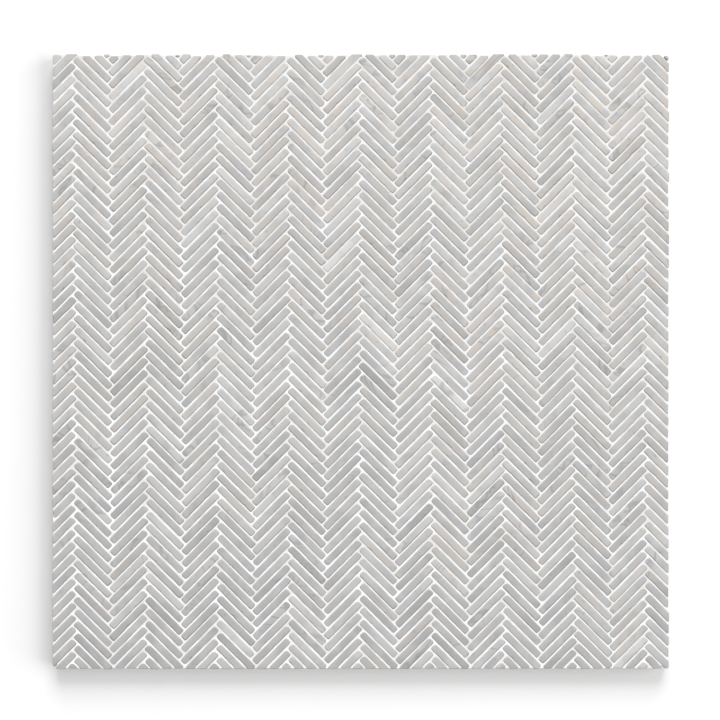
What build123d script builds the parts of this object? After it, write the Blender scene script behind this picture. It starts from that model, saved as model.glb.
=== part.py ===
"""Marble herringbone mosaic sheet: sawn marble sticks laid in a true 45-degree herringbone,
trimmed to a straight-sided sheet, and bonded by a skin of white resin to a glass-fibre net.

Millimetres. The origin is the centre of the sheet's underside, +X runs across the chevrons,
+Y runs up them, and +Z is the face of the mosaic.
"""
from build123d import *
import math
import os

# The sheet
sheet_width = 306.4       # across the chevrons, over the cut sides
sheet_height = 305.6      # along the chevrons, over the cut ends

# The sticks and the joints between them
stick_length = 24.55
stick_width = 3.8
stick_thickness = 9.0
joint = 0.5
column_shift = -0.15      # the middle line of peaks stands this far from the sheet's middle
row_shift = -0.87         # and the right-leaning rows this far
lay_turn = 0.16           # degrees by which the pattern lies askew in the trimmed sheet
smallest_chip = 2.0       # square millimetres of face: a smaller offcut isn't kept at a cut edge

# The resin skin, which ends a little inside the stone's cut edges
resin_thickness = 0.3
resin_setback = 0.5

# The net, of flat strands that run up the sheet and across it
strand_pitch = 5.0
strand_width = 0.7
strand_thickness = 0.25
net_setback = 1.0

# The herringbone's own spacing follows from the stick and the joint
column_pitch = (stick_length + joint) / math.sqrt(2)
row_pitch = (stick_width + joint) * math.sqrt(2)
stick_reach = (stick_length + stick_width) / (2 * math.sqrt(2))   # half a leaning stick's span

# Each layer lies on the one before it
warp_base = 0.0
weft_base = warp_base + strand_thickness
resin_base = weft_base + strand_thickness
stick_base = resin_base + resin_thickness

ON_BASE = (Align.CENTER, Align.CENTER, Align.MIN)


def slab(width, height, thickness, base):
    """A flat block, centred on the sheet and standing on the given height."""
    return Pos(0, 0, base) * Box(width, height, thickness, align=ON_BASE)


def stick(x, y, lean):
    """One whole stick centred at (x, y), its length turned by lean degrees from +X."""
    return Pos(x, y, 0) * Rot(0, 0, lean) * slab(stick_length, stick_width, stick_thickness, stick_base)


def trimmed(piece):
    """The piece as the saw leaves it at the sheet's edge, or None for a chip too small to keep."""
    inside = slab(sheet_width, sheet_height, stick_thickness, stick_base)
    kept = piece & inside
    solids = kept.solids() if kept else []
    if not solids or solids[0].volume < smallest_chip * stick_thickness:
        return None
    return solids[0]


def laid(across, up):
    """Where a place in the pattern lies on the sheet."""
    turn = math.radians(lay_turn)
    x = across * math.cos(turn) - up * math.sin(turn)
    y = across * math.sin(turn) + up * math.cos(turn)
    return x, y


def column(number):
    """Every stick of one column. Columns lean right and left in turn and meet in peaks and
    valleys. Each is half a row out of step with the next, so that the ends lock together."""
    across = column_shift + (number - 0.5) * column_pitch
    leans_left = number % 2 == 1
    lean = (-45 if leans_left else 45) + lay_turn
    first_row = row_shift + (row_pitch / 2 if leans_left else 0.0)
    rows = math.ceil((sheet_height / 2 + 2 * stick_reach) / row_pitch)
    sticks = []
    for row in range(-rows, rows + 1):
        x, y = laid(across, first_row + row * row_pitch)
        past_side = abs(x) + stick_reach - sheet_width / 2
        past_end = abs(y) + stick_reach - sheet_height / 2
        if max(past_side, past_end) >= 2 * stick_reach:
            continue
        piece = stick(x, y, lean)
        if max(past_side, past_end) > 0:
            piece = trimmed(piece)
        if piece is not None:
            sticks.append(piece)
    return sticks


def strands(length, span, base, turn):
    """Parallel flat strands of the net, one of them on the sheet's middle line."""
    each_side = math.floor((span - strand_width) / 2 / strand_pitch)
    bar = slab(strand_width, length, strand_thickness, base)
    places = [i * strand_pitch for i in range(-each_side, each_side + 1)]
    return [Rot(0, 0, turn) * Pos(place, 0, 0) * bar for place in places]


def save(name, solids):
    """Writes one node, whose name is the file's."""
    export_step(Compound(children=list(solids), label=name), f"parts/{name}.step")


os.makedirs("parts", exist_ok=True)

# Net
net_width = sheet_width - 2 * net_setback
net_height = sheet_height - 2 * net_setback
save("net_warp_strands", strands(net_height, net_width, warp_base, 0))
save("net_weft_strands", strands(net_width, net_height, weft_base, 90))

# Resin
resin_width = sheet_width - 2 * resin_setback
resin_height = sheet_height - 2 * resin_setback
save("bonding_resin", [slab(resin_width, resin_height, resin_thickness, resin_base)])

# Sticks, in columns numbered from the left
furthest = math.ceil((sheet_width / 2 + stick_reach + abs(column_shift)) / column_pitch) + 1
columns = [column(number) for number in range(-furthest, furthest + 1)]
columns = [sticks for sticks in columns if sticks]
for place, sticks in enumerate(columns, start=1):
    save(f"stick_column_{place:02d}", sticks)
print("columns", len(columns), "sticks", sum(len(sticks) for sticks in columns))
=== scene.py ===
# %% [markdown]
# # A marble herringbone mosaic sheet
# The sheet is about a thousand sawn marble sticks, set in white resin on a net of glass fibre.
# The solids already say where each stick lies and how the saw trimmed it at the sheet's edges.
# So this lesson measures everything from them, and only adds what a plain sawn block lacks:
# softened arrises, chips, veins, the resin in the joints and the weave of the net.

# %% Load the solids
import math

import bpy
import numpy as np
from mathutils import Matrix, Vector
from mathutils.geometry import delaunay_2d_cdt


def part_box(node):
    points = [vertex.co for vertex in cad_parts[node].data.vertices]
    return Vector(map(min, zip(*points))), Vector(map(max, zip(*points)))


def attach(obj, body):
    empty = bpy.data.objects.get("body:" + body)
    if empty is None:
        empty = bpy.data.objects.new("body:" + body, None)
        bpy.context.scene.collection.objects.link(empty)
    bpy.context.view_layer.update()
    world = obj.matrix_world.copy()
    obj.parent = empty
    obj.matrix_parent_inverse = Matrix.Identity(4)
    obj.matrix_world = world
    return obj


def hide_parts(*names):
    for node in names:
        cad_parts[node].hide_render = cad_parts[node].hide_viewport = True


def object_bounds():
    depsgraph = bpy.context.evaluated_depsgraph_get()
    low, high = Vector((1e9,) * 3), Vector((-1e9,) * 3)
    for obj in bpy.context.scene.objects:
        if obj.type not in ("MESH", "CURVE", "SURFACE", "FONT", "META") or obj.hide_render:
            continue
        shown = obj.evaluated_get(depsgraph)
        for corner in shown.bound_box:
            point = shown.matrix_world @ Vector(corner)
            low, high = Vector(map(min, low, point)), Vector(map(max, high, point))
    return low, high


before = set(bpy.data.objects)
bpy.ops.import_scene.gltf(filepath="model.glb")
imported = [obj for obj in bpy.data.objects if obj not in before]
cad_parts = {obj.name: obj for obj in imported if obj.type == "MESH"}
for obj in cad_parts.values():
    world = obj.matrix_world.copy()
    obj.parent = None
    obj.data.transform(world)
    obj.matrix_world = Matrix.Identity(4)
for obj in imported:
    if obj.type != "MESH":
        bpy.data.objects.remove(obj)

MM = 0.001
solid_low, solid_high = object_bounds()
sheet_half_x = solid_high.x / MM
sheet_half_y = solid_high.y / MM
face_height = solid_high.z / MM
print("solids", len(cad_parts), "nodes, half sizes", sheet_half_x, sheet_half_y, "mm")

# %% [markdown]
# ## The camera
# The photograph looks straight down on the sheet, so no edge of it converges. A long lens from
# a metre away keeps it so and still works for views from the side, which an orthographic camera
# would crop. The four margins of the sheet in the photograph give the scale and the middle.

# %% Camera
PHOTO_SIDE = 720                        # pixels
SHEET_LEFT, SHEET_RIGHT = 52.0, 669.2   # where the farthest stones lie in the photograph
SHEET_TOP, SHEET_BOTTOM = 53.7, 669.3
LENS, SENSOR = 100.0, 36.0              # mm

mm_per_pixel = 2 * sheet_half_x / (SHEET_RIGHT - SHEET_LEFT)
view_width = PHOTO_SIDE * mm_per_pixel
camera_x = (PHOTO_SIDE - SHEET_LEFT - SHEET_RIGHT) / 2 * mm_per_pixel
camera_y = (SHEET_TOP + SHEET_BOTTOM - PHOTO_SIDE) / 2 * mm_per_pixel
camera_rise = view_width * LENS / SENSOR

camera = bpy.data.objects.new("camera", bpy.data.cameras.new("camera"))
camera.data.lens, camera.data.sensor_width = LENS, SENSOR
camera.location = (camera_x * MM, camera_y * MM, (face_height + camera_rise) * MM)
bpy.context.scene.collection.objects.link(camera)
bpy.context.scene.camera = camera
bpy.context.scene.view_settings.view_transform = "Standard"
print("camera", round(camera_rise), "mm above the face, frame", round(view_width, 1), "mm wide")

# %% [markdown]
# ## Studio light
# Every stick in the photograph has a bright upper edge and a dull lower one, whichever way it
# leans. So one soft lamp, the key, stands past the top of the sheet, a little to the right. It
# is eight metres away, so that its light hardly falls off across the sheet. A pale sky fills the
# rest. Together they light a level surface at about 1.1, so a colour renders nearly as it is
# written. The photograph's shadow is as wide at the left as at the bottom, which the shading of
# the sticks doesn't explain. A second lamp at the right makes that shadow. The cell that makes
# the floor links it to the floor, so that it lights nothing else.

# %% Lamps
LAMP_DISTANCE = 8.0     # m
KEY_LEVEL = 0.75        # what the lamp adds to a level surface
KEY_TURN = 5            # degrees from straight above the photograph's top edge, to the right
KEY_ELEVATION = 34      # degrees above the floor
KEY_SIZE = 4.95         # m, the side of the square
KEY_COLOUR = (0.992, 1.0, 1.010)
# The same for the side lamp
SIDE_LEVEL, SIDE_TURN, SIDE_ELEVATION, SIDE_SIZE = 0.69, 90, 32, 7.33


def lamp(name, level, turn, elevation, size, colour=(1.0, 1.0, 1.0)):
    """A square soft lamp that adds level to what a level surface at the origin gets."""
    light = bpy.data.lights.new(name, "AREA")
    light.color = colour
    light.size = size
    rise = math.sin(math.radians(elevation))
    reach = math.cos(math.radians(elevation))
    light.energy = level / rise * math.pi ** 2 * LAMP_DISTANCE ** 2
    turn = math.radians(turn)
    there = Vector((math.sin(turn) * reach, math.cos(turn) * reach, rise))
    holder = bpy.data.objects.new(name, light)
    holder.location = there * LAMP_DISTANCE
    holder.rotation_mode = "QUATERNION"
    holder.rotation_quaternion = there.to_track_quat("Z", "Y")
    bpy.context.scene.collection.objects.link(holder)
    return holder


lamp("key_lamp", KEY_LEVEL, KEY_TURN, KEY_ELEVATION, KEY_SIZE, KEY_COLOUR)
side_lamp = lamp("side_lamp", SIDE_LEVEL, SIDE_TURN, SIDE_ELEVATION, SIDE_SIZE)
print("lamps give", KEY_LEVEL, "to the sheet and", SIDE_LEVEL, "more to the floor")

# %% [markdown]
# ## The sky
# The sky is built from shader nodes, like every material further down. One helper makes a node
# and sets its values, which keeps all of these trees short. The camera sees the sky as plain
# white, while a dimmer and slightly warm one lights the sheet.

# %% Sky
SKY_LEVEL = 0.36
SKY_COLOUR = (1.0, 0.990, 0.978, 1.0)
WHITE = (1.0, 1.0, 1.0, 1.0)


def node(tree, kind, **values):
    """A shader node. Values set its properties, or its inputs where the name is an input's."""
    made = tree.nodes.new(kind)
    for key, value in values.items():
        if hasattr(made, key):
            setattr(made, key, value)
        else:
            made.inputs[key.replace("_", " ")].default_value = value
    return made


world = bpy.data.worlds.new("sky")
bpy.context.scene.world = world
world.use_nodes = True
sky = world.node_tree
sky.nodes.clear()
sky_out = node(sky, "ShaderNodeOutputWorld")
sky_light = node(sky, "ShaderNodeBackground", Color=SKY_COLOUR, Strength=SKY_LEVEL)
sky_seen = node(sky, "ShaderNodeBackground", Color=WHITE, Strength=1.0)
sky_path = node(sky, "ShaderNodeLightPath")
sky_mix = node(sky, "ShaderNodeMixShader")
sky.links.new(sky_path.outputs["Is Camera Ray"], sky_mix.inputs[0])
sky.links.new(sky_light.outputs[0], sky_mix.inputs[1])
sky.links.new(sky_seen.outputs[0], sky_mix.inputs[2])
sky.links.new(sky_mix.outputs[0], sky_out.inputs[0])
print("sky gives", SKY_LEVEL)

# %% [markdown]
# ## The floor
# A plain pale floor takes the shadow. The light that it throws back at the sheet's sides comes
# from its own grey. Camera rays see it a little paler and with a faint glow, which keeps the open
# floor white and leaves the shadow in it as deep as in the photograph. Its back is see-through,
# so that a view from below shows the net and not the floor's underside.

# %% Floor
FLOOR_HALF = 6.0        # m
FLOOR_COLOUR = (0.50, 0.50, 0.50, 1.0)
FLOOR_SEEN = (0.54, 0.54, 0.54, 1.0)
FLOOR_GLOW = 0.215


def plain_plane(name, half):
    """A level square at height 0, reaching half to each side of the origin."""
    mesh = bpy.data.meshes.new(name)
    corners = [(-half, -half, 0), (half, -half, 0), (half, half, 0), (-half, half, 0)]
    mesh.from_pydata(corners, [], [(0, 1, 2, 3)])
    made = bpy.data.objects.new(name, mesh)
    bpy.context.scene.collection.objects.link(made)
    return made


floor = plain_plane("floor", FLOOR_HALF)
floor_material = bpy.data.materials.new("studio_floor")
floor_material.use_nodes = True
tree = floor_material.node_tree
tree.nodes.clear()
out = node(tree, "ShaderNodeOutputMaterial")
plain = node(tree, "ShaderNodeBsdfDiffuse", Color=FLOOR_COLOUR)
shown = node(tree, "ShaderNodeBsdfDiffuse", Color=FLOOR_SEEN)
glow = node(tree, "ShaderNodeEmission", Color=WHITE, Strength=FLOOR_GLOW)
nothing = node(tree, "ShaderNodeBsdfTransparent")
path = node(tree, "ShaderNodeLightPath")
side = node(tree, "ShaderNodeNewGeometry")
lit = node(tree, "ShaderNodeAddShader")
seen = node(tree, "ShaderNodeMixShader")
faced = node(tree, "ShaderNodeMixShader")
tree.links.new(shown.outputs[0], lit.inputs[0])
tree.links.new(glow.outputs[0], lit.inputs[1])
tree.links.new(path.outputs["Is Camera Ray"], seen.inputs[0])
tree.links.new(plain.outputs[0], seen.inputs[1])
tree.links.new(lit.outputs[0], seen.inputs[2])
tree.links.new(side.outputs["Backfacing"], faced.inputs[0])
tree.links.new(seen.outputs[0], faced.inputs[1])
tree.links.new(nothing.outputs[0], faced.inputs[2])
tree.links.new(faced.outputs[0], out.inputs[0])
floor.data.materials.append(floor_material)
lit_by_side_lamp = bpy.data.collections.new("lit_by_side_lamp")
lit_by_side_lamp.objects.link(floor)
side_lamp.light_linking.receiver_collection = lit_by_side_lamp
print("floor", 2 * FLOOR_HALF, "m square")

# %% [markdown]
# ## Where each stick lies
# Each column of sticks is one node of the solids. Its level faces at the top are the sticks'
# faces, and each is convex, so a hull around its corners gives the outline that the saw left.
# Reading them here means that no spacing or angle has to be written down a second time.

# %% Outlines of the sticks
CLOSE = 0.01            # mm within which two corners are the same one


def hull(points):
    """The convex outline of some points, anticlockwise."""
    points = sorted(points)

    def chain(run):
        kept = []
        for p in run:
            while len(kept) > 1:
                a, b = kept[-2], kept[-1]
                if (b[0] - a[0]) * (p[1] - a[1]) - (b[1] - a[1]) * (p[0] - a[0]) > CLOSE ** 2:
                    break
                kept.pop()
            kept.append(p)
        return kept[:-1]

    return chain(points) + chain(points[::-1])


def face_outlines(name):
    """The outline in mm of each stick's face in a column, from the bottom of the sheet up."""
    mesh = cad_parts[name].data
    spot = [(round(v.co.x / MM, 3), round(v.co.y / MM, 3)) for v in mesh.vertices]
    high = [v.co.z / MM > face_height - CLOSE for v in mesh.vertices]
    owner = {p: p for p, up in zip(spot, high) if up}

    def root(p):
        while owner[p] != p:
            p = owner[p]
        return p

    for polygon in mesh.polygons:
        if all(high[i] for i in polygon.vertices):
            first, *others = [spot[i] for i in polygon.vertices]
            for other in others:
                owner[root(other)] = root(first)
    groups = {}
    for p in owner:
        groups.setdefault(root(p), []).append(p)
    outlines = [np.array(hull(group)) for group in groups.values()]
    return sorted(outlines, key=lambda o: (o[:, 1].mean(), o[:, 0].mean()))


column_names = sorted(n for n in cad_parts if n.startswith("stick_column"))
columns = {name: face_outlines(name) for name in column_names}
stick_count = sum(len(sticks) for sticks in columns.values())
print("columns", len(columns), "sticks", stick_count)

# %% [markdown]
# ## How a stick runs
# Grain, chips and wobble all need to know which way a stick points. The longest edge found in a
# column gives it, because a column's sticks are parallel and most of them are whole.

# %% Direction and size of the sticks
def edges_of(outline):
    """Each edge of an outline as a vector."""
    return np.roll(outline, -1, axis=0) - outline


def lean_of(outlines):
    """The direction in which a column's sticks point, always towards the right."""
    runs = np.concatenate([edges_of(o) for o in outlines])
    longest = runs[np.argmax(np.hypot(*runs.T))]
    longest = longest / np.hypot(*longest)
    return longest if longest[0] > 0 else -longest


leans = {name: lean_of(outlines) for name, outlines in columns.items()}
middle_column = columns[column_names[len(column_names) // 2]]
whole = max(middle_column, key=lambda o: np.hypot(*edges_of(o).T).sum())
whole_lengths = np.sort(np.hypot(*edges_of(whole).T))
stick_width, stick_length = whole_lengths[0], whole_lengths[-1]
resin_low, resin_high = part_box("bonding_resin")
stick_base = resin_high.z / MM
print("a whole stick is", round(stick_length, 2), "by", round(stick_width, 2), "mm")

# %% [markdown]
# ## An outline with softened corners
# Tumbling wears the corners of each stick to about a millimetre of radius. An arc goes in at
# each corner, with a centre that stays put when the outline is later drawn inwards, so every
# ring of the stone has the same number of points. Where a stick is too small for the wanted
# radius, the radius shrinks to what its two edges allow.

# %% Rounded outline
ARC_STEP = math.radians(24)
EDGE_SHARE = 0.46       # of the shorter edge beside a corner that its arc may use
END_SHARE = 0.02        # extra places this near to the end of an edge are left out


def turned(vector, angle):
    """A vector turned anticlockwise."""
    c, s = math.cos(angle), math.sin(angle)
    return np.array([c * vector[0] - s * vector[1], s * vector[0] + c * vector[1]])


def rounded(outline, radii, spacing, extra=(), arc_step=ARC_STEP):
    """Points round an outline with arcs at its corners, and for each point its outward
    direction, the radius there, which is infinity on a straight edge, and the edge it belongs
    to. Extra asks for more points, each as (edge, share of it)."""
    edges = edges_of(outline)
    lengths = np.hypot(*edges.T)
    along = edges / lengths[:, None]
    outward = np.stack([along[:, 1], -along[:, 0]], axis=1)
    count = len(outline)
    points, normals, bends, owners, starts = [], [], [], [], []
    for i in range(count):
        bend = math.acos(np.clip(np.dot(along[i - 1], along[i]), -1, 1))
        room = EDGE_SHARE * min(lengths[i - 1], lengths[i]) / math.tan(bend / 2)
        radius = min(radii[i], room)
        tangent = radius * math.tan(bend / 2)
        centre = outline[i] - along[i - 1] * tangent - outward[i - 1] * radius
        steps = max(2, round(bend / arc_step))
        fan = [turned(outward[i - 1], bend * k / steps) for k in range(steps + 1)]
        starts.append((centre, radius, fan))
    for i in range(count):
        centre, radius, fan = starts[i]
        for k, n in enumerate(fan):
            points.append(centre + n * radius)
            normals.append(n)
            bends.append(radius)
            owners.append(i if 2 * k >= len(fan) else i - 1)
        begin = centre + fan[-1] * radius
        after, radius_after, fan_after = starts[(i + 1) % count]
        run = after + fan_after[0] * radius_after - begin
        pieces = max(1, round(np.hypot(*run) / spacing))
        shares = {k / pieces for k in range(1, pieces)}
        shares |= {share for edge, share in extra if edge == i and END_SHARE < share < 1 - END_SHARE}
        for share in sorted(shares):
            points.append(begin + run * share)
            normals.append(outward[i])
            bends.append(math.inf)
            owners.append(i)
    return np.array(points), np.array(normals), np.array(bends), np.array(owners)


sample = rounded(whole, [1.3] * 4, 2.0)
print("a whole stick's outline has", len(sample[0]), "points")

# %% [markdown]
# ## How the pattern wanders
# Sticks laid by hand aren't in true rows. In the photograph the whole pattern wanders smoothly,
# by a quarter of a millimetre over a few centimetres. A sum of a dozen sine waves with random
# directions gives such a field. Its mean over the sticks is taken off, so that the sheet as a
# whole stays where it is. All chance comes from one seeded generator, so each run gives the
# same sheet.

# %% Wander
chance = np.random.default_rng(1207)
WANDER, WANDER_SPREAD, WAVES = 0.26, 34.0, 12       # mm each way, mm, count
wave_numbers = chance.normal(0, 1 / WANDER_SPREAD, (WAVES, 2))
wave_phases = chance.uniform(0, 2 * math.pi, (2, WAVES))


def wandered(place):
    """How far the pattern has wandered from true at a place on the sheet."""
    return WANDER * math.sqrt(2 / WAVES) * np.sin(wave_phases + wave_numbers @ place).sum(axis=1)


middles = [outline.mean(axis=0) for outlines in columns.values() for outline in outlines]
wanders = np.array([wandered(middle) for middle in middles])
mean_wander = np.mean(wanders, axis=0)
print("wander", wanders.std(axis=0).round(2), "mm, with its mean", mean_wander.round(2), "taken off")

# %% [markdown]
# ## Small differences between sticks
# Each stick is also shifted and turned a little on its own. The trimming saw leaves a ragged line
# at the sheet's edges, most of all at the top. Which edges the saw made can be seen from their
# direction: a stick's own edges all lean at 45 degrees.

# %% Laying and trimming
SHIFT_ALONG, SHIFT_ACROSS = 0.08, 0.05      # mm, standard deviations
TURN = math.radians(0.11)
RAGGED = ((0, -1, 0.50), (0, 1, 0.55), (1, -1, 0.45), (1, 1, 1.15))    # axis, side, mm
SMALL_LOSS = 0.2        # of its own reach that a small stone may lose to the ragged cut
LEAN_LIMIT = 0.3        # a cut edge climbs less than this for its run, or the other way round


def laid(outline, along):
    """The outline as it was really laid: moved and turned a little about its middle."""
    middle = outline.mean(axis=0)
    across = np.array([-along[1], along[0]])
    shift = along * chance.normal(0, SHIFT_ALONG) + across * chance.normal(0, SHIFT_ACROSS)
    shift = shift + wandered(middle) - mean_wander
    angle = chance.normal(0, TURN)
    return np.array([turned(p - middle, angle) for p in outline]) + middle + shift


def cut_edges(outline):
    """For each edge, whether the trimming saw made it. Only its cuts run along or up the sheet."""
    runs = np.abs(edges_of(outline))
    return runs.min(axis=1) < LEAN_LIMIT * runs.max(axis=1)


def cut_off(outline, axis, side, limit):
    """What a straight cut across an axis leaves of an outline."""
    left = limit - side * outline[:, axis]
    kept = []
    for a, b, da, db in zip(outline, np.roll(outline, -1, axis=0), left, np.roll(left, -1)):
        if da >= 0:
            kept.append(a)
        if da * db < 0:
            kept.append(a + (b - a) * da / (da - db))
    return np.array(kept)


def trimmed(outline):
    """An outline as the ragged trimming leaves it, inside the sheet's box."""
    for axis, side, ragged in RAGGED:
        half = (sheet_half_x, sheet_half_y)[axis]
        depth = min(chance.uniform(0, ragged), SMALL_LOSS * np.ptp(outline[:, axis]))
        outline = cut_off(outline, axis, side, half - depth)
    return np.array(hull([tuple(p) for p in outline]))


cut_count = sum(cut_edges(o).any() for outlines in columns.values() for o in outlines)
print(cut_count, "sticks are cut by the trimming, the other", stick_count - cut_count, "are whole")

# %% [markdown]
# ## The arris of a stone
# A sawn stick that has been tumbled has no sharp edge left. How far in its arris reaches swells
# and shrinks along the edge, and a chip is nothing more than a place where it is suddenly large.
# Where the trimming saw cut, the arris is fresh, and so it is much smaller.

# %% Corners, chips and size of the arris
ARRIS = 0.42            # mm
ARRIS_WAVE = 0.22       # how much of it comes and goes along an edge
WAVE_LENGTHS = (2.3, 5.1, 9.7)
FRESH_SHARE = 0.4       # how large the arris of a cut edge is next to a worn one
SIZE_SPREAD = (0.88, 1.12)
# The radius of a corner: worn, at one end of a cut, and where two cuts meet at the sheet's corner
CORNER_WORN, CORNER_CUT, CORNER_SHEET = 1.25, 0.95, 2.4
CORNER_SPREAD = (0.8, 1.15)
CORNER_RISE = 0.28      # tips that point up the sheet are rounder by this, the lower ones sharper
CHIP_RATE = 1.1         # chips on a whole stick, on average
CHIP_EDGE = 4.0         # mm, the shortest edge that has chips


def chips_on(outline):
    """Chips of an outline's longer edges: edge, place as a share of the edge, size, half width."""
    lengths = np.hypot(*edges_of(outline).T)
    found = []
    for edge, length in enumerate(lengths):
        if length < CHIP_EDGE:
            continue
        for _ in range(chance.poisson(CHIP_RATE / 2 * length / stick_length)):
            size = chance.uniform(0.12, 0.5) ** 1.3
            found.append((edge, chance.uniform(0.08, 0.92), size, chance.uniform(0.35, 0.9)))
    return found, lengths


def pointing_up(outline):
    """For each corner, how far it points up the sheet: 1 for a top tip, -1 for a bottom one."""
    edges = edges_of(outline)
    edges = edges / np.hypot(*edges.T)[:, None]
    outward = edges[:, [1, 0]] * (1, -1)
    corner = outward + np.roll(outward, 1, axis=0)
    return corner[:, 1] / np.hypot(*corner.T)


def corner_radii(outline, cut):
    """The radius of each corner of a stone, given which of its edges are cuts."""
    radii = np.where(cut | np.roll(cut, 1), CORNER_CUT, CORNER_WORN)
    radii = np.where(cut & np.roll(cut, 1), CORNER_SHEET, radii)
    return radii * chance.uniform(*CORNER_SPREAD, len(outline)) * (1 + CORNER_RISE * pointing_up(outline))


def wave_along(points):
    """An uneven wave between -1 and 1 that runs round the points of an outline."""
    steps = np.hypot(*(np.roll(points, -1, axis=0) - points).T)
    travel = np.concatenate([[0], np.cumsum(steps)[:-1]])
    phases = chance.uniform(0, 2 * math.pi, len(WAVE_LENGTHS))
    waves = [np.sin(travel * 2 * math.pi / w + f) for w, f in zip(WAVE_LENGTHS, phases)]
    return sum(waves) / len(WAVE_LENGTHS)


print("arris", ARRIS, "mm, corner", CORNER_WORN, "mm, a top tip's", round(CORNER_WORN * (1 + CORNER_RISE), 2))

# %% [markdown]
# ## One stone
# The stone is a stack of rings drawn from its outline: two for the sawn sides, four round the
# arris and one more on the face, which holds the shading flat. A bevel modifier would give the
# same round arris everywhere, and rings made one by one can follow the sizes found above. Each
# ring also says how white and how dark it is. The white is crushed stone, and the upper edges get
# more of it as a painted highlight. The dark is brown stain, and on the lower edges it is painted
# shade as well.

# %% Rings of a stone
# Rings of the arris from the side up to the face: how far in and down, how white, how dark with stain and
# painted shade
ARRIS_RINGS = (
    (0.00, 1.150, 1.0, 0.65),
    (0.13, 0.620, 0.95, 1.0),
    (0.40, 0.250, 0.34, 1.0),
    (1.00, 0.055, 0.0, 0.68),
    (1.80, 0.000, 0.0, 0.0),
)
LARGEST_BEND = 0.95     # of a corner's radius that the rings may reach in
LARGEST_WIDTH = 0.2     # of a stick's width that the arris may take on each side
EDGE_STEP = 2.0         # mm between the points of a straight edge
SWELL = 0.035           # mm by which a tumbled stick's sides stand proud of its sawn size
SWELL_LOW = 0.08        # and its lower sides by this more, as they look in the photograph
SIDE_WAVE = 0.03        # mm by which the sides are uneven, and a cut side falls back
FOOT_IN, FOOT_RISE = 0.12, 0.25         # mm, the bevel of the foot
SINK = 0.14             # mm by which a face may lie below the highest
TILT = 0.0022           # the slope of a face, standard deviation
# Per stone spreads of the edge white, partly a painted highlight, and of the edge brown, partly painted shade
WHITE_EDGE_SPREAD, BROWN_EDGE_SPREAD = (0.70, 1.20), (0.55, 1.30)
# Lower edges get this share of the white that upper ones get, and the difference is a painted highlight
LOWEST_WHITE = 0.12     # how white a lower edge is, next to an upper one
FRESH_WHITE, FRESH_STAIN = -0.3, 0.8    # the same two tones where the trimming saw cut
BLOCK_HALF = 900        # mm, the quarry's block


def edge_tones(normals, fresh):
    """How white and how dark each point of a stone's outline gets, from where it faces. Upper edges get more
    white, a painted highlight, and lower edges more brown, stain and painted shade together. Cut edges get
    brown stain and no white.
    """
    upper = np.clip(0.5 + 0.7 * normals[:, 1], 0, 1)
    lower = np.where(fresh, FRESH_STAIN, np.clip(1.3 * (1 - upper), 0, 1))
    upper = np.where(fresh, FRESH_WHITE, upper)
    return LOWEST_WHITE + (1 - LOWEST_WHITE) * upper, lower


def skin(ring_size, ring_count):
    """The faces that close a stack of rings."""
    faces = []
    for low in range(0, (ring_count - 1) * ring_size, ring_size):
        for i in range(ring_size):
            j = (i + 1) % ring_size
            faces.append((low + i, low + j, low + ring_size + j, low + ring_size + i))
    faces.append(tuple(range(ring_size))[::-1])
    faces.append(tuple(range((ring_count - 1) * ring_size, ring_count * ring_size)))
    return faces


def quarry_place(xy, z, middle, along):
    """Where each point of a stone was in the quarry's block, in metres."""
    across = np.array([-along[1], along[0]])
    spin = chance.uniform(0, 2 * math.pi)
    local = np.stack([(xy - middle) @ along, (xy - middle) @ across], axis=1)
    c, s = math.cos(spin), math.sin(spin)
    block = np.stack([c * local[:, 0] - s * local[:, 1], s * local[:, 0] + c * local[:, 1], z], axis=1)
    return (block + chance.uniform(-BLOCK_HALF, BLOCK_HALF, 3)) * MM


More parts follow.
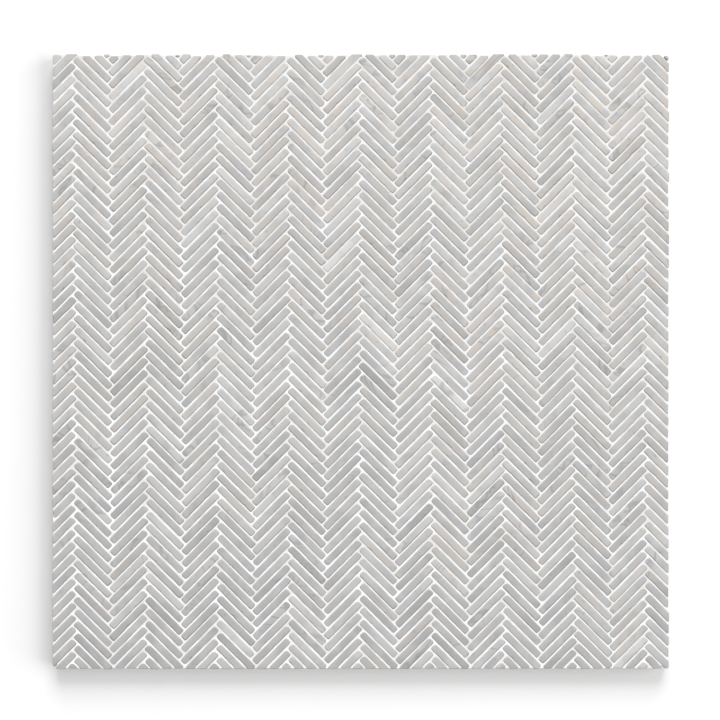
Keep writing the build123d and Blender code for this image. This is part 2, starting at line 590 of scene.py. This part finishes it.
def stone(outline, along):
    """Vertices, faces and per-vertex values of one stone, in mm."""
    chips, lengths = chips_on(outline)
    extra = [(e, s + k * w / lengths[e]) for e, s, size, w in chips for k in (-1, -0.45, 0, 0.45, 1)]
    cut = cut_edges(outline)
    points, normals, bends, owners = rounded(outline, corner_radii(outline, cut), EDGE_STEP, extra)
    fresh = cut[owners]
    wave = wave_along(points)
    size = ARRIS * chance.uniform(*SIZE_SPREAD) * (1 + ARRIS_WAVE * wave) * np.where(fresh, FRESH_SHARE, 1)
    white_edge_share, brown_edge_share = chance.uniform(*WHITE_EDGE_SPREAD), chance.uniform(*BROWN_EDGE_SPREAD)
    for edge, share, deep, wide in chips:
        place = outline[edge] + edges_of(outline)[edge] * share
        away = np.hypot(*(points - place).T)
        size = size + deep * np.exp(-(away / wide) ** 2)
    size = np.minimum(size, LARGEST_BEND * bends / ARRIS_RINGS[-1][0])
    size = np.minimum(size, LARGEST_WIDTH * min(stick_width, lengths.min() * 1.2))
    swell = SWELL + SWELL_LOW * np.clip(-normals[:, 1], 0, 1) - SIDE_WAVE * wave
    points = points + normals * np.where(fresh, -SIDE_WAVE, swell)[:, None]

    top = face_height - chance.uniform(0, SINK)
    tilt = chance.normal(0, TILT, 2)
    middle = outline.mean(axis=0)
    level = top - np.abs((points - middle) @ tilt)
    # A painted highlight on the upper edges, and painted shade with brown stain on the lower ones
    white, stain_and_shade_share = edge_tones(normals, fresh)
    none, count = np.zeros(len(points)), len(points)
    rings = [(points - normals * FOOT_IN, np.full(count, stick_base), none, none)]
    rings.append((points, np.full(count, stick_base + FOOT_RISE), none, none))
    for inward, drop, ring_white, ring_stain_and_shade in ARRIS_RINGS:
        ring = points - normals * (size * inward)[:, None]
        rings.append((ring, level - size * drop, ring_white * white_edge_share * white, ring_stain_and_shade * brown_edge_share * stain_and_shade_share))
    xy, z, wear_and_highlight, stain_and_shade = (np.concatenate(parts) for parts in zip(*rings))
    xy = np.clip(xy, [-sheet_half_x, -sheet_half_y], [sheet_half_x, sheet_half_y])
    values = {"wear_and_highlight": wear_and_highlight, "stain_and_shade": stain_and_shade, "block": quarry_place(xy, z, middle, along)}
    return np.column_stack([xy, z]), skin(count, len(rings)), values


print("a stone has", len(ARRIS_RINGS) + 2, "rings, of which the foot is", FOOT_IN, "mm in")

# %% [markdown]
# ## A column of stones
# Blender draws a few large meshes much faster than a thousand small ones, so a column is one
# mesh, as it is one node of the solids. What differs from stick to stick goes along as named
# attributes of the mesh: its shade, its warmth, and where in the quarry's block it was sawn. In
# the photograph the stones grow a little paler and warmer to the top right, so each stone's
# place on the sheet counts too. A few stones are much paler than the rest.

# %% Columns
PALER_TO = (0.30, 0.62)     # how the shade and the warmth grow to the right and to the top
WARMER_TO = (0.34, 1.28)
PALE_SHARE, PALE_STEP = 0.015, 3.2


def mesh_object(name, vertices, faces, smooth=True):
    """A mesh object from vertices in mm."""
    mesh = bpy.data.meshes.new(name)
    mesh.from_pydata((np.asarray(vertices) * MM).tolist(), [], faces)
    mesh.polygons.foreach_set("use_smooth", [smooth] * len(mesh.polygons))
    mesh.update()
    made = bpy.data.objects.new(name, mesh)
    bpy.context.scene.collection.objects.link(made)
    return made


def store(mesh, name, values):
    """A named value on each vertex, a number or a vector."""
    values = np.asarray(values, np.float32)
    kind, field = ("FLOAT", "value") if values.ndim == 1 else ("FLOAT_VECTOR", "vector")
    mesh.attributes.new(name, kind, "POINT").data.foreach_set(field, values.ravel())


def column_of_stones(name):
    """All stones of one column as one piece, and their outlines as laid."""
    along = leans[name]
    vertices, faces, kept = [], [], {k: [] for k in ("wear_and_highlight", "stain_and_shade", "block", "shade", "warmth")}
    outlines, total = [], 0
    for outline in columns[name]:
        placed = laid(outline, along)
        if cut_edges(outline).any():
            placed = trimmed(placed)
        block, sides, values = stone(placed, along)
        vertices.append(block)
        faces += [tuple(i + total for i in f) for f in sides]
        total += len(block)
        for key, value in values.items():
            kept[key].append(value)
        pale = PALE_STEP if chance.random() < PALE_SHARE else 0.0
        place = placed.mean(axis=0) / (sheet_half_x, sheet_half_y)
        kept["shade"].append(np.full(len(block), chance.normal(0, 1) + pale + place @ PALER_TO))
        kept["warmth"].append(np.full(len(block), chance.normal(0, 1) + place @ WARMER_TO))
        outlines.append(placed)
    piece = mesh_object("stones_" + name[-2:], np.concatenate(vertices), faces)
    for key, parts in kept.items():
        store(piece.data, key, np.concatenate(parts))
    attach(piece, "root")
    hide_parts(name)
    return piece, outlines


stones, laid_outlines = [], []
for name in column_names:
    piece, outlines = column_of_stones(name)
    stones.append(piece)
    laid_outlines += outlines
triangles = sum(len(p.vertices) - 2 for piece in stones for p in piece.data.polygons)
print("stones", len(laid_outlines), "triangles", triangles)

# %% [markdown]
# ## Resin in the joints
# White resin fills each joint almost to the face. It is what is left of a plate once a pocket is
# cut out of it for every stick, and cutting a thousand pockets with booleans is slow. A
# triangulation that is told where the pockets are gives the same plate in a second: a triangle
# in a joint goes up to the face, and one in a pocket stays down under its stick. The plate's rim
# is wavy, because the resin runs out unevenly at the sheet's edges.

# %% Resin
RESIN_BELOW_FACE = 0.18             # mm
RESIN_RIM = (0.3, 0.3, 1.0, 0.3)    # mm by which it falls short at the bottom, right, top and left
RIM_SHARES = np.arange(0.01, 0.99, 0.009)
POCKET_OVERLAP = 0.18   # mm by which the resin is let into the stone, so that no gap shows
POCKET_ARC_STEP = math.radians(45)
POCKET_EDGE_STEP = 99   # mm, so that a pocket's straight edges get no more points


def wavy_rim():
    """The edge of the resin, which runs out unevenly in the joints."""
    half_x, half_y = resin_high.x / MM, resin_high.y / MM
    corners = [(-half_x, -half_y), (half_x, -half_y), (half_x, half_y), (-half_x, half_y)]
    rim = []
    for k in range(4):
        a, b = np.array(corners[k]), np.array(corners[(k + 1) % 4])
        run = (b - a) / np.hypot(*(b - a))
        inward = np.array([-run[1], run[0]])
        for share in RIM_SHARES:
            rim.append(tuple(a + (b - a) * share + inward * chance.uniform(0, RESIN_RIM[k])))
    return rim


def resin_plate():
    """Vertices and faces of the resin, in mm."""
    flat = wavy_rim()
    shapes = [list(range(len(flat)))]
    for outline in laid_outlines:
        radii = [CORNER_WORN] * len(outline)
        ring, normals, bends, _ = rounded(outline, radii, POCKET_EDGE_STEP, arc_step=POCKET_ARC_STEP)
        ring = ring - normals * np.minimum(POCKET_OVERLAP, 0.5 * bends)[:, None]
        shapes.append(list(range(len(flat), len(flat) + len(ring))))
        flat += [tuple(p) for p in ring]
    flat = [Vector(p) for p in flat]
    points, _, triangles, _, _, sources = delaunay_2d_cdt(flat, [], shapes, 0, 1e-5)
    heights = {"face": face_height - RESIN_BELOW_FACE, "pocket": stick_base, "back": resin_low.z / MM}
    numbers, vertices, faces, sides = {}, [], [], {}

    def vertex(i, level):
        if (i, level) not in numbers:
            numbers[i, level] = len(vertices)
            vertices.append((points[i].x, points[i].y, heights[level]))
        return numbers[i, level]

    for triangle, source in zip(triangles, sources):
        if 0 not in source:
            continue
        level = "pocket" if len(source) > 1 else "face"
        faces.append([vertex(i, level) for i in triangle])
        faces.append([vertex(i, "back") for i in triangle][::-1])
        for k, i in enumerate(triangle):
            sides[i, triangle[(k + 1) % len(triangle)]] = level
    for (i, j), level in sides.items():
        other = sides.get((j, i), "back")
        if level == "face" and other == "pocket" or other == "back":
            faces.append([vertex(i, other), vertex(j, other), vertex(j, level), vertex(i, level)])
    return vertices, faces


resin = mesh_object("joint_resin", *resin_plate(), smooth=False)
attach(resin, "root")
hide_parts("bonding_resin")
print("resin faces", len(resin.data.polygons))

# %% [markdown]
# ## The woven net
# The net on the back is a plain weave of glass yarn, flattened where it was pressed on. In the
# solids one layer of strands lies on the other. Here each strand is a ribbon of lens section
# that goes over one crossing and under the next, inside the thickness of the two.

# %% Net
YARN_SWING = 0.22       # how far a yarn rises and falls, as a share of the net's thickness
YARN_THICKNESS = 0.3    # the height of the section below, as such a share
END_STEP = 0.2          # mm, the least from a yarn's end to its next section
SECTION = [(-0.5, 0.0), (-0.25, -0.4), (0.25, -0.4), (0.5, 0.0), (0.25, 0.4), (-0.25, 0.4)]
STEPS_PER_PITCH = 2


def strand_places(name, axis):
    """The middle of each strand of a net node, measured across the strands."""
    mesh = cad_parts[name].data
    values = sorted({round(v.co[axis] / MM, 3) for v in mesh.vertices})
    return [(low + high) / 2 for low, high in zip(values[::2], values[1::2])], values[1] - values[0]


def woven(name, axis, crossing):
    """The strands of one direction as one piece. axis is the one across them."""
    places, width = strand_places(name, axis)
    low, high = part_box(name)
    half = high[1 - axis] / MM
    net_top = resin_low.z / MM
    pitch = crossing[1] - crossing[0]
    steps = range(-1, STEPS_PER_PITCH * len(crossing))
    runs = [crossing[0] + i * pitch / STEPS_PER_PITCH for i in steps]
    runs = [-half] + [r for r in runs if abs(r) < half - END_STEP] + [half]
    vertices, faces, yarn = [], [], []
    for number, place in enumerate(places):
        for run in runs:
            swing = math.cos((run - crossing[0]) / pitch * math.pi) * (-1) ** number
            swing = swing if axis == 0 else -swing
            rise = net_top / 2 + swing * net_top * YARN_SWING
            for across, up in SECTION:
                spot = [0.0, 0.0, rise + up * net_top * YARN_THICKNESS]
                spot[axis] = place + across * width
                spot[1 - axis] = run
                vertices.append(spot)
                yarn.append((across * width * MM, run * MM, place * MM))
        start = number * len(runs) * len(SECTION)
        for k in range(len(runs) - 1):
            for i in range(len(SECTION)):
                j = (i + 1) % len(SECTION)
                a, b = start + k * len(SECTION), start + (k + 1) * len(SECTION)
                quad = [a + i, a + j, b + j, b + i]
                faces.append(quad if axis == 1 else quad[::-1])
        first = [start + i for i in range(len(SECTION))]
        last = [start + (len(runs) - 1) * len(SECTION) + i for i in range(len(SECTION))]
        faces.append(first[::-1] if axis == 1 else first)
        faces.append(last if axis == 1 else last[::-1])
    piece = mesh_object(name.replace("_strands", "_yarns"), vertices, faces)
    store(piece.data, "yarn", yarn)
    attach(piece, "root")
    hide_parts(name)
    return piece


warp_places, _ = strand_places("net_warp_strands", 0)
weft_places, _ = strand_places("net_weft_strands", 1)
net = [woven("net_warp_strands", 0, weft_places), woven("net_weft_strands", 1, warp_places)]
print("net yarns", len(warp_places), "up the sheet and", len(weft_places), "across it")

# %% [markdown]
# ## Tools for shader trees
# Most nodes of a material take one or two values and give one. Each tool here makes such a node,
# links what is an output, sets what is a number, and returns the new output, so that a material
# reads like a formula.

# %% Node tools
def feed(tree, socket, value):
    """Links an output to a socket, or sets the socket's value."""
    if isinstance(value, bpy.types.NodeSocket):
        tree.links.new(value, socket)
    else:
        socket.default_value = value


def math_node(tree, operation, *values, clamp=False):
    """A Math node between outputs or numbers."""
    made = node(tree, "ShaderNodeMath", operation=operation, use_clamp=clamp)
    for socket, value in zip(made.inputs, values):
        feed(tree, socket, value)
    return made.outputs[0]


def vector_node(tree, operation, vector, value):
    """A Vector Math node between an output and another one, a vector or a number."""
    made = node(tree, "ShaderNodeVectorMath", operation=operation)
    feed(tree, made.inputs[0], vector)
    feed(tree, made.inputs["Scale" if operation == "SCALE" else 1], value)
    return made.outputs["Value" if operation == "DOT_PRODUCT" else "Vector"]


def mix_node(tree, factor, first, second):
    """A colour Mix node between two outputs or colours."""
    made = node(tree, "ShaderNodeMix", data_type="RGBA")
    for k, value in ((0, factor), (6, first), (7, second)):
        feed(tree, made.inputs[k], value)
    return made.outputs[2]


def range_node(tree, value, low, high, to_low=0.0, to_high=1.0):
    """A smooth Map Range node."""
    made = node(tree, "ShaderNodeMapRange", interpolation_type="SMOOTHSTEP")
    for k, number in enumerate((value, low, high, to_low, to_high)):
        feed(tree, made.inputs[k], number)
    return made.outputs[0]


def noise_node(tree, place, **values):
    """A Noise Texture node, read at a place."""
    made = node(tree, "ShaderNodeTexNoise", **values)
    feed(tree, made.inputs["Vector"], place)
    return made.outputs[0]


def attribute(tree, name, output="Fac"):
    """A value that the mesh carries."""
    return node(tree, "ShaderNodeAttribute", attribute_name=name).outputs[output]


print("node tools ready")

# %% [markdown]
# ## Shared effects
# Stone, resin and yarn all drift slowly in colour, and all have a fine tooth that breaks up the
# light. The white of the stone's arris and of the resin grows whiter towards the sheet's bottom
# left. Each of the three effects is a node group, built once and placed with its own values.

# %% Node groups
DRIFT_RANGE = (0.36, 0.64)      # levels of the noise between which the colour goes over
WHITENING_SLOPE, WHITENING_LEVEL = (-0.08, -0.37, 0.0), 1.002     # whiteness per metre, and at the middle


def group(name, inputs, outputs):
    """An empty shader node group. Inputs and outputs are (name, kind, default)."""
    made = bpy.data.node_groups.new(name, "ShaderNodeTree")
    for way, sockets in (("INPUT", inputs), ("OUTPUT", outputs)):
        for label, kind, default in sockets:
            socket = made.interface.new_socket(label, in_out=way, socket_type="NodeSocket" + kind)
            if default is not None:
                socket.default_value = default
    return made, node(made, "NodeGroupInput").outputs, node(made, "NodeGroupOutput").inputs


def place_group(tree, made, **values):
    """A group placed in a tree, with its own values or links. Returns its outputs."""
    used = node(tree, "ShaderNodeGroup", node_tree=made)
    for key, value in values.items():
        feed(tree, used.inputs[key], value)
    return used.outputs


drift, given, result = group(
    "slow_drift",
    [("Vector", "Vector", None), ("Scale", "Float", 40.0), ("From", "Color", (0.5, 0.5, 0.5, 1)),
     ("To", "Color", (0.6, 0.6, 0.6, 1)), ("Push", "Float", 0.0)],
    [("Color", "Color", None), ("Mask", "Float", None)],
)
cloud = noise_node(drift, given["Vector"], Detail=4.0, Roughness=0.55, Distortion=0.6)
feed(drift, cloud.node.inputs["Scale"], given["Scale"])
drifted = math_node(drift, "ADD", range_node(drift, cloud, *DRIFT_RANGE), given["Push"], clamp=True)
feed(drift, result["Color"], mix_node(drift, drifted, given["From"], given["To"]))
feed(drift, result["Mask"], drifted)

# Whiter towards the sheet's bottom left, along a given slope
bottom_left_whitening, given, result = group("whiter_to_bottom_left", [("Color", "Color", None)], [("Color", "Color", None)])
on_sheet = node(bottom_left_whitening, "ShaderNodeTexCoord").outputs["Object"]
whiteness = math_node(bottom_left_whitening, "ADD", vector_node(bottom_left_whitening, "DOT_PRODUCT", on_sheet, WHITENING_SLOPE), WHITENING_LEVEL)
feed(bottom_left_whitening, result["Color"], vector_node(bottom_left_whitening, "SCALE", given["Color"], whiteness))

tooth, given, result = group(
    "fine_tooth",
    [("Vector", "Vector", None), ("Scale", "Float", 1500.0), ("Depth", "Float", 0.00002)],
    [("Height", "Float", None), ("Mask", "Float", None)],
)
grit = noise_node(tooth, given["Vector"], Detail=3.0, Roughness=0.6)
feed(tooth, grit.node.inputs["Scale"], given["Scale"])
feed(tooth, result["Height"], math_node(tooth, "MULTIPLY", grit, given["Depth"]))
feed(tooth, result["Mask"], grit)
print("groups", [g.name for g in bpy.data.node_groups])

# %% [markdown]
# ## Starting and finishing a material
# Every material starts as a lone Principled shader, and ends with the fine tooth in its relief
# and in its roughness.

# %% Material tools
def new_material(name, specular):
    """A material with a Principled shader on its own."""
    made = bpy.data.materials.new(name)
    made.use_nodes = True
    tree = made.node_tree
    tree.nodes.clear()
    end = node(tree, "ShaderNodeOutputMaterial")
    shader = node(tree, "ShaderNodeBsdfPrincipled")
    shader.inputs["Specular IOR Level"].default_value = specular
    tree.links.new(shader.outputs[0], end.inputs[0])
    return made, tree, shader


def give_tooth(tree, shader, place, scale, depth, strength, roughness):
    """Adds the fine tooth. Roughness is given as its least and its greatest value."""
    grain = place_group(tree, tooth, Vector=place, Scale=scale, Depth=depth)
    feed(tree, shader.inputs["Roughness"], range_node(tree, grain["Mask"], 0.2, 0.8, *roughness))
    bump = node(tree, "ShaderNodeBump", Strength=strength, Distance=1.0)
    feed(tree, bump.inputs["Height"], grain["Height"])
    feed(tree, shader.inputs["Normal"], bump.outputs[0])


print("material tools ready")

# %% [markdown]
# ## Marble: clouds and blush
# The marble is a pale grey with soft clouds, a little beige in places. All of it is read from
# the block attribute, the place in the quarry's block, so a cloud or a vein runs through a stick
# and stops at its edge.

# %% Marble's clouds
MARBLE_PALE = (0.573, 0.571, 0.566, 1)
MARBLE_DEEP = (0.474, 0.477, 0.477, 1)
MARBLE_BEIGE = (0.580, 0.535, 0.493, 1)
BLUSH_PLACE = (3.1, 1.7, 0.9)       # m, far enough that clouds and blush don't match
WARMTH_SHARE, WARMTH_MEAN = 0.27, 0.47

marble, tree, shader = new_material("marble", 0.5)
block = attribute(tree, "block", "Vector")
clouds = place_group(tree, drift, Vector=block, Scale=74.0, From=MARBLE_DEEP, To=MARBLE_PALE, Push=0.1)
blush_at = vector_node(tree, "ADD", block, BLUSH_PLACE)
blush = place_group(tree, drift, Vector=blush_at, Scale=130.0, Push=-0.1)
warm = math_node(tree, "MULTIPLY_ADD", attribute(tree, "warmth"), WARMTH_SHARE, WARMTH_MEAN)
beige = math_node(tree, "MULTIPLY", blush["Mask"], warm, clamp=True)
clouded = mix_node(tree, beige, clouds["Color"], MARBLE_BEIGE)
print("clouds from", MARBLE_DEEP[:3], "to", MARBLE_PALE[:3])

# %% [markdown]
# ## Marble: veins, specks and shade
# Where a noise passes through its middle level is a thin winding line, which makes a better vein
# than any drawn curve. A second, large noise lets veins show in a few regions of the block only.
# A third makes the small dark specks that lie anywhere. Last, each stick gets its own shade.

# %% Marble's veins
MARBLE_VEIN = (0.315, 0.315, 0.311, 1)
VEIN_HALF = 0.026       # of the noise's level
VEIN_DRAWN = (0.6, 1.0, 1.0)        # veins are longer along the block
VEIN_DEPTH, SPECK_DEPTH = 0.60, 0.38
SHADE_SHARE = 0.058

drawn = vector_node(tree, "MULTIPLY", block, VEIN_DRAWN)
line = noise_node(tree, drawn, Scale=48.0, Detail=3.0, Roughness=0.55, Distortion=0.9)
off_line = math_node(tree, "ABSOLUTE", math_node(tree, "SUBTRACT", line, 0.5))
vein = range_node(tree, off_line, 0.0, VEIN_HALF, 1.0, 0.0)
region = range_node(tree, noise_node(tree, block, Scale=17.0, Detail=1.0), 0.53, 0.66)
vein = math_node(tree, "MULTIPLY", vein, region, clamp=True)
speck = noise_node(tree, block, Scale=330.0, Detail=2.0, Roughness=0.5, Distortion=0.4)
speck = math_node(tree, "MULTIPLY", range_node(tree, speck, 0.66, 0.76), SPECK_DEPTH)
dark = math_node(tree, "MULTIPLY_ADD", vein, VEIN_DEPTH, speck, clamp=True)
veined = mix_node(tree, dark, clouded, MARBLE_VEIN)
lighter = math_node(tree, "MULTIPLY_ADD", attribute(tree, "shade"), SHADE_SHARE, 1.0)
toned = vector_node(tree, "SCALE", veined, lighter)
print("veins", MARBLE_VEIN[:3], "at", VEIN_DEPTH)

# %% [markdown]
# ## Marble: the worn arris, with a painted highlight and painted shade
# Crushed marble scatters light, so a bruised arris is nearly white, with a faint brown tinge, and
# whiter towards the sheet's bottom left. The upper edges get more of this white, as a painted
# highlight. Brown dirt lies over it on the lower edges, where it is painted shade as well. Where
# either shows was found ring by ring, and a noise breaks both up.

# %% Marble's arris
# The bruise white is partly a painted highlight where it lies on upper edges, and the dirt brown is partly
# painted shade on lower edges
BRUISE_AND_HIGHLIGHT = (0.935, 0.945, 0.954, 1)
BRUISE_AND_HIGHLIGHT_TINGE = (0.790, 0.750, 0.700, 1)
DIRT_AND_SHADE = (0.280, 0.228, 0.164, 1)

tinged = place_group(tree, drift, Vector=block, Scale=160.0, From=BRUISE_AND_HIGHLIGHT, To=BRUISE_AND_HIGHLIGHT_TINGE, Push=-0.30)
bruise_and_highlight = place_group(tree, bottom_left_whitening, Color=tinged["Color"])["Color"]
uneven = noise_node(tree, block, Scale=420.0, Detail=2.0)
white_breakup = range_node(tree, uneven, 0.25, 0.7, 0.55, 1.0)
bruise_and_highlight_mask = math_node(tree, "MULTIPLY", attribute(tree, "wear_and_highlight"), white_breakup, clamp=True)
brown_breakup = range_node(tree, uneven, 0.3, 0.65, 0.35, 0.75)
dirt_and_shade_mask = math_node(tree, "MULTIPLY", attribute(tree, "stain_and_shade"), brown_breakup, clamp=True)
# Mixes in the white, strongest on upper edges as a painted highlight, and the brown, strongest on lower edges
# as painted shade
stone_with_edge_tones = mix_node(tree, dirt_and_shade_mask, mix_node(tree, bruise_and_highlight_mask, toned, bruise_and_highlight), DIRT_AND_SHADE)
feed(tree, shader.inputs["Base Color"], stone_with_edge_tones)
give_tooth(tree, shader, block, 1400.0, 0.00003, 0.5, (0.34, 0.52))
for piece in stones:
    piece.data.materials.append(marble)
print("marble on", len(stones), "columns, with", len(tree.nodes), "nodes")

# %% [markdown]
# ## Resin
# The resin is matt and gritty with stone dust, and a touch beige here and there. Its upright
# walls between the cut stones at the sheet's edges are painted darker, a painted shade that keeps
# them from glaring in the lamps' light.

# %% Resin material
RESIN_WHITE = (0.950, 0.963, 0.972, 1)
RESIN_BEIGE = (0.780, 0.755, 0.725, 1)
# The grey of the upright faces is painted shade
RESIN_UPRIGHT_SHADE = (0.600, 0.585, 0.560, 1)

white_resin, tree, shader = new_material("white_resin", 0.3)
place = node(tree, "ShaderNodeTexCoord").outputs["Object"]
dusted = place_group(tree, drift, Vector=place, Scale=110.0, From=RESIN_WHITE, To=RESIN_BEIGE, Push=-0.25)
whitened_resin = place_group(tree, bottom_left_whitening, Color=dusted["Color"])["Color"]
facing = node(tree, "ShaderNodeSeparateXYZ")
feed(tree, facing.inputs[0], node(tree, "ShaderNodeNewGeometry").outputs["Normal"])
is_level = range_node(tree, math_node(tree, "ABSOLUTE", facing.outputs["Z"]), 0.3, 0.8)
# Upright faces get the darker grey, a painted shade
feed(tree, shader.inputs["Base Color"], mix_node(tree, is_level, RESIN_UPRIGHT_SHADE, whitened_resin))
give_tooth(tree, shader, place, 2600.0, 0.0001, 0.6, (0.75, 0.95))
resin.data.materials.append(white_resin)
print("resin", RESIN_WHITE[:3], "with", len(tree.nodes), "nodes")

# %% [markdown]
# ## Glass yarn
# A yarn is a bundle of fine filaments, so its relief is a noise drawn out a hundred times along
# the strand.

# %% Net material
YARN_PALE = (0.800, 0.800, 0.765, 1)
YARN_DULL = (0.700, 0.695, 0.650, 1)
FILAMENT_DRAWN = (1.0, 0.01, 1.0)

glass_net, tree, shader = new_material("glass_fibre_net", 0.5)
yarn = attribute(tree, "yarn", "Vector")
tone = place_group(tree, drift, Vector=yarn, Scale=120.0, From=YARN_PALE, To=YARN_DULL, Push=-0.1)
feed(tree, shader.inputs["Base Color"], tone["Color"])
drawn_out = vector_node(tree, "MULTIPLY", yarn, FILAMENT_DRAWN)
give_tooth(tree, shader, drawn_out, 9000.0, 0.00004, 0.8, (0.35, 0.65))
for piece in net:
    piece.data.materials.append(glass_net)
print("materials", [m.name for m in bpy.data.materials if m.users])
